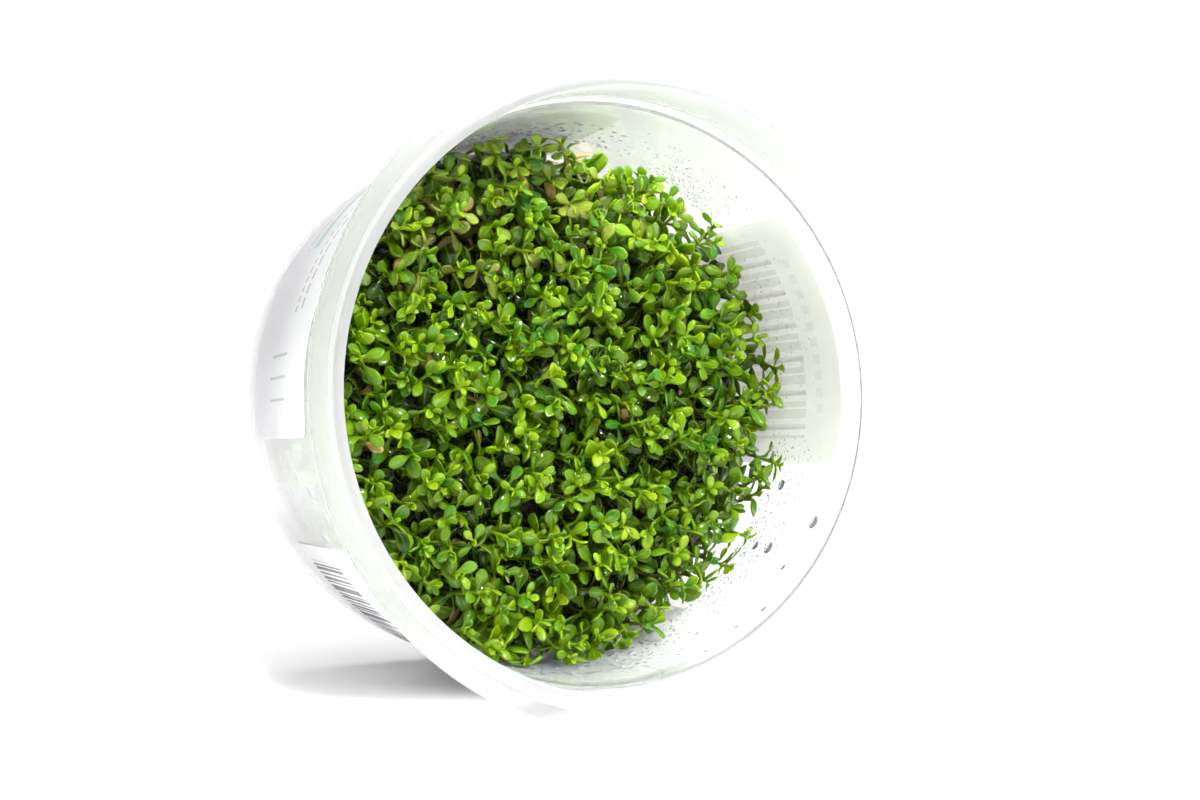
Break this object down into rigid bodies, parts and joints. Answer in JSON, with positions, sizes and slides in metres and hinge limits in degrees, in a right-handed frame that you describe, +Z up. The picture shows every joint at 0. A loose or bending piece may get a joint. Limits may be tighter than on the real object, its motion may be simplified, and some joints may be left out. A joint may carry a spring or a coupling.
{
  "type": "waterwort plants in a clear culture tub",
  "caption": "Clear round tub lying on its side, with a dense carpet of small spoon-leaved waterwort growing on gel inside and plain paper labels round its wall.",
  "frame": {"origin": "middle of the underside of the whole object's box, on the surface that the tub lies on", "axes": "+Z up, with the tub lying on its rim's edge and its base's corner; its mouth faces -Y and 9 degrees upwards, its base faces +Y"},
  "size_m": [0.1006, 0.0794, 0.0995],
  "materials": {
    "clear_plastic": "gloss",
    "gel": "satin",
    "paper": "satin",
    "leaf": "satin"
  },
  "bodies": {
    "root": {"tub": "clear_plastic", "gel": "gel", "front_label": "paper", "side_label": "paper", "lower_label": "paper", "plant_01": "leaf", "plant_02": "leaf", "plant_03": "leaf", "plant_04": "leaf", "plant_05": "leaf", "plant_06": "leaf", "plant_07": "leaf", "plant_08": "leaf", "plant_09": "leaf", "plant_10": "leaf", "plant_11": "leaf", "plant_12": "leaf", "plant_13": "leaf", "plant_14": "leaf", "plant_15": "leaf", "plant_16": "leaf", "plant_17": "leaf", "plant_18": "leaf", "plant_19": "leaf", "plant_20": "leaf", "plant_21": "leaf", "plant_22": "leaf", "plant_23": "leaf", "plant_24": "leaf", "plant_25": "leaf", "plant_26": "leaf", "plant_27": "leaf", "plant_28": "leaf", "plant_29": "leaf", "plant_30": "leaf", "plant_31": "leaf", "plant_32": "leaf", "plant_33": "leaf", "plant_34": "leaf", "plant_35": "leaf", "plant_36": "leaf", "plant_37": "leaf", "plant_38": "leaf", "plant_39": "leaf", "plant_40": "leaf", "plant_41": "leaf", "plant_42": "leaf"}
  },
  "joints": []
}
